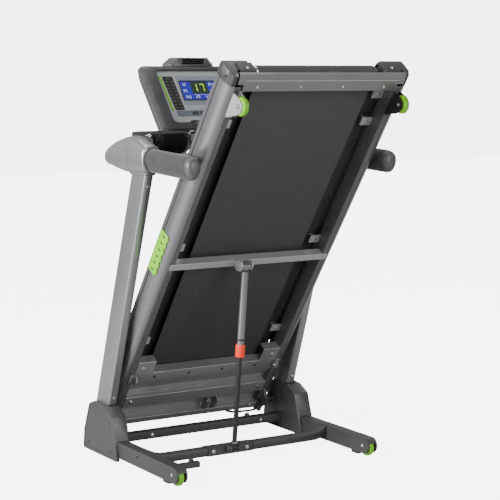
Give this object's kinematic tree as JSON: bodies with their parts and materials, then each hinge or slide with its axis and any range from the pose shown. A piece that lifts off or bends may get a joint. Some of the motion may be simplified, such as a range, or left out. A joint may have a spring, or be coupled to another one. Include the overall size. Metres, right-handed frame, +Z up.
{
  "type": "folding treadmill",
  "caption": "Folding treadmill stored upright: U-shaped base with uprights, console and grips, and a hinged running deck held by a telescopic strut.",
  "frame": {"origin": "centre of the folded machine's footprint, on the floor", "axes": "+X to the runner's right, +Y forwards to the console, +Z up; the deck is folded up at rest"},
  "size_m": [0.83, 1.038, 1.391],
  "materials": {
    "silver_paint": "satin silver powder coat",
    "dark_paint": "satin dark grey powder coat",
    "grey_plastic": "fine textured dark grey moulding",
    "silver_plastic": "satin silver-painted moulding",
    "black_plastic": "black moulding",
    "panel_face": "printed panel film, silver and blue-grey",
    "screen": "clear window over a blue display",
    "foam": "dark grey foam grip",
    "rubber": "black rubber",
    "green": "lime green polyurethane",
    "orange": "orange-red moulding",
    "steel": "turned steel",
    "black_steel": "gloss black paint",
    "belt": "woven-backed running belt",
    "board": "waxed fibreboard"
  },
  "bodies": {
    "base": {"base_rail_left": "silver_paint", "base_rail_right": "silver_paint", "base_front_tube": "silver_paint", "base_rear_tube": "silver_paint", "bumper_pad": "rubber", "front_foot_left": "rubber", "front_foot_right": "rubber", "rear_foot_left": "rubber", "rear_foot_right": "rubber", "base_cover_left": "grey_plastic", "base_cover_right": "grey_plastic", "upright_left": "silver_paint", "upright_right": "silver_paint", "shoulder_left": "silver_plastic", "shoulder_right": "silver_plastic", "grip_left": "foam", "grip_right": "foam", "tray_left": "grey_plastic", "tray_right": "grey_plastic", "console_base": "grey_plastic", "console_bezel": "grey_plastic", "console_back": "grey_plastic", "console_panel": "panel_face", "display_window": "screen", "fan_housing": "grey_plastic", "pulse_bar": "black_plastic", "cable_harness": "rubber"},
    "deck": {"deck_tube_left": "dark_paint", "deck_tube_right": "dark_paint", "mid_cross": "silver_paint", "pan_cross": "dark_paint", "motor_cross": "dark_paint", "front_cross": "dark_paint", "rear_plate": "silver_paint", "foot_rail_left": "silver_plastic", "foot_rail_right": "silver_plastic", "end_cap_left": "silver_plastic", "end_cap_right": "silver_plastic", "deck_board": "board", "running_belt": "belt", "motor_hood": "silver_plastic", "drive_motor": "black_steel", "power_inlet": "black_plastic", "drive_belt": "rubber", "rail_pad_left": "green"},
    "fan_rotor": {"fan_rotor": "black_plastic"},
    "safety_key": {"safety_key": "orange"},
    "start_button": {"start_button": "grey_plastic"},
    "stop_button": {"stop_button": "grey_plastic"},
    "base_wheel_left": {"base_wheel_left": "green"},
    "base_wheel_right": {"base_wheel_right": "green"},
    "deck_wheel_left": {"deck_wheel_left": "green"},
    "deck_wheel_right": {"deck_wheel_right": "green"},
    "front_roller": {"front_roller": "steel"},
    "rear_roller": {"rear_roller": "steel"},
    "motor_shaft": {"motor_shaft": "steel"},
    "power_rocker": {"power_rocker": "black_plastic"},
    "strut_rod": {"strut_rod": "black_steel"},
    "strut_tube": {"strut_tube": "silver_paint"},
    "lock_sleeve": {"lock_sleeve": "orange"}
  },
  "joints": [
    {"name": "deck_fold", "type": "hinge", "parent": "base", "child": "deck", "pos_m": [0, 0.38342, 0.0976], "axis": [1, 0, 0], "range_deg": [0, 55.15], "deforming": ["cable_harness"]},
    {"name": "strut_swing", "type": "hinge", "parent": "base", "child": "strut_rod", "pos_m": [-0.043, -0.00758, 0.042], "axis": [1, 0, 0], "range_deg": [0, 81.6]},
    {"name": "strut_slide", "type": "slide", "parent": "strut_rod", "child": "strut_tube", "axis": [0, -0.1155, 0.9933], "range_m": [-0.291, 0]},
    {"name": "sleeve_slide", "type": "slide", "parent": "strut_tube", "child": "lock_sleeve", "axis": [0, -0.1155, 0.9933], "range_m": [0, 0.012], "stiffness_N_per_m": 200, "springref_m": -0.01},
    {"name": "base_wheel_left_spin", "type": "hinge", "parent": "base", "child": "base_wheel_left", "pos_m": [-0.38, -0.21008, 0.033], "axis": [1, 0, 0], "continuous": true},
    {"name": "base_wheel_right_spin", "type": "hinge", "parent": "base", "child": "base_wheel_right", "pos_m": [0.38, -0.21008, 0.033], "axis": [1, 0, 0], "continuous": true},
    {"name": "deck_wheel_left_spin", "type": "hinge", "parent": "deck", "child": "deck_wheel_left", "pos_m": [-0.30385, -0.48907, 1.23597], "axis": [1, 0, 0], "continuous": true},
    {"name": "deck_wheel_right_spin", "type": "hinge", "parent": "deck", "child": "deck_wheel_right", "pos_m": [0.30385, -0.48907, 1.23597], "axis": [1, 0, 0], "continuous": true},
    {"name": "front_roller_spin", "type": "hinge", "parent": "deck", "child": "front_roller", "pos_m": [0, 0.30918, 0.30271], "axis": [1, 0, 0], "continuous": true},
    {"name": "rear_roller_spin", "type": "hinge", "parent": "deck", "child": "rear_roller", "pos_m": [0, -0.43284, 1.33954], "axis": [1, 0, 0], "continuous": true},
    {"name": "motor_shaft_spin", "type": "hinge", "parent": "deck", "child": "motor_shaft", "pos_m": [0, 0.40842, 0.21387], "axis": [1, 0, 0], "continuous": true},
    {"name": "fan_rotor_spin", "type": "hinge", "parent": "base", "child": "fan_rotor", "pos_m": [0, 0.38242, 1.373], "axis": [1, 0, 0], "continuous": true},
    {"name": "safety_key_pull", "type": "slide", "parent": "base", "child": "safety_key", "axis": [0, -0.8508, 0.5255], "range_m": [0, 0.03]},
    {"name": "start_button_press", "type": "slide", "parent": "base", "child": "start_button", "axis": [0, 0.8508, -0.5255], "range_m": [0, 0.002], "stiffness_N_per_m": 300, "springref_m": -0.002},
    {"name": "stop_button_press", "type": "slide", "parent": "base", "child": "stop_button", "axis": [0, 0.8508, -0.5255], "range_m": [0, 0.002], "stiffness_N_per_m": 300, "springref_m": -0.002},
    {"name": "power_rocker_tilt", "type": "hinge", "parent": "deck", "child": "power_rocker", "pos_m": [-0.165, 0.46726, 0.07152], "axis": [1, 0, 0], "range_deg": [0, 12]}
  ],
  "couplings": [
    {"joint": "strut_swing", "follows": "deck_fold", "ratio": 1.4776},
    {"joint": "strut_slide", "follows": "deck_fold", "m_per_rad": -0.30193},
    {"joint": "rear_roller_spin", "follows": "front_roller_spin", "ratio": 1},
    {"joint": "motor_shaft_spin", "follows": "front_roller_spin", "ratio": 3.1818}
  ]
}
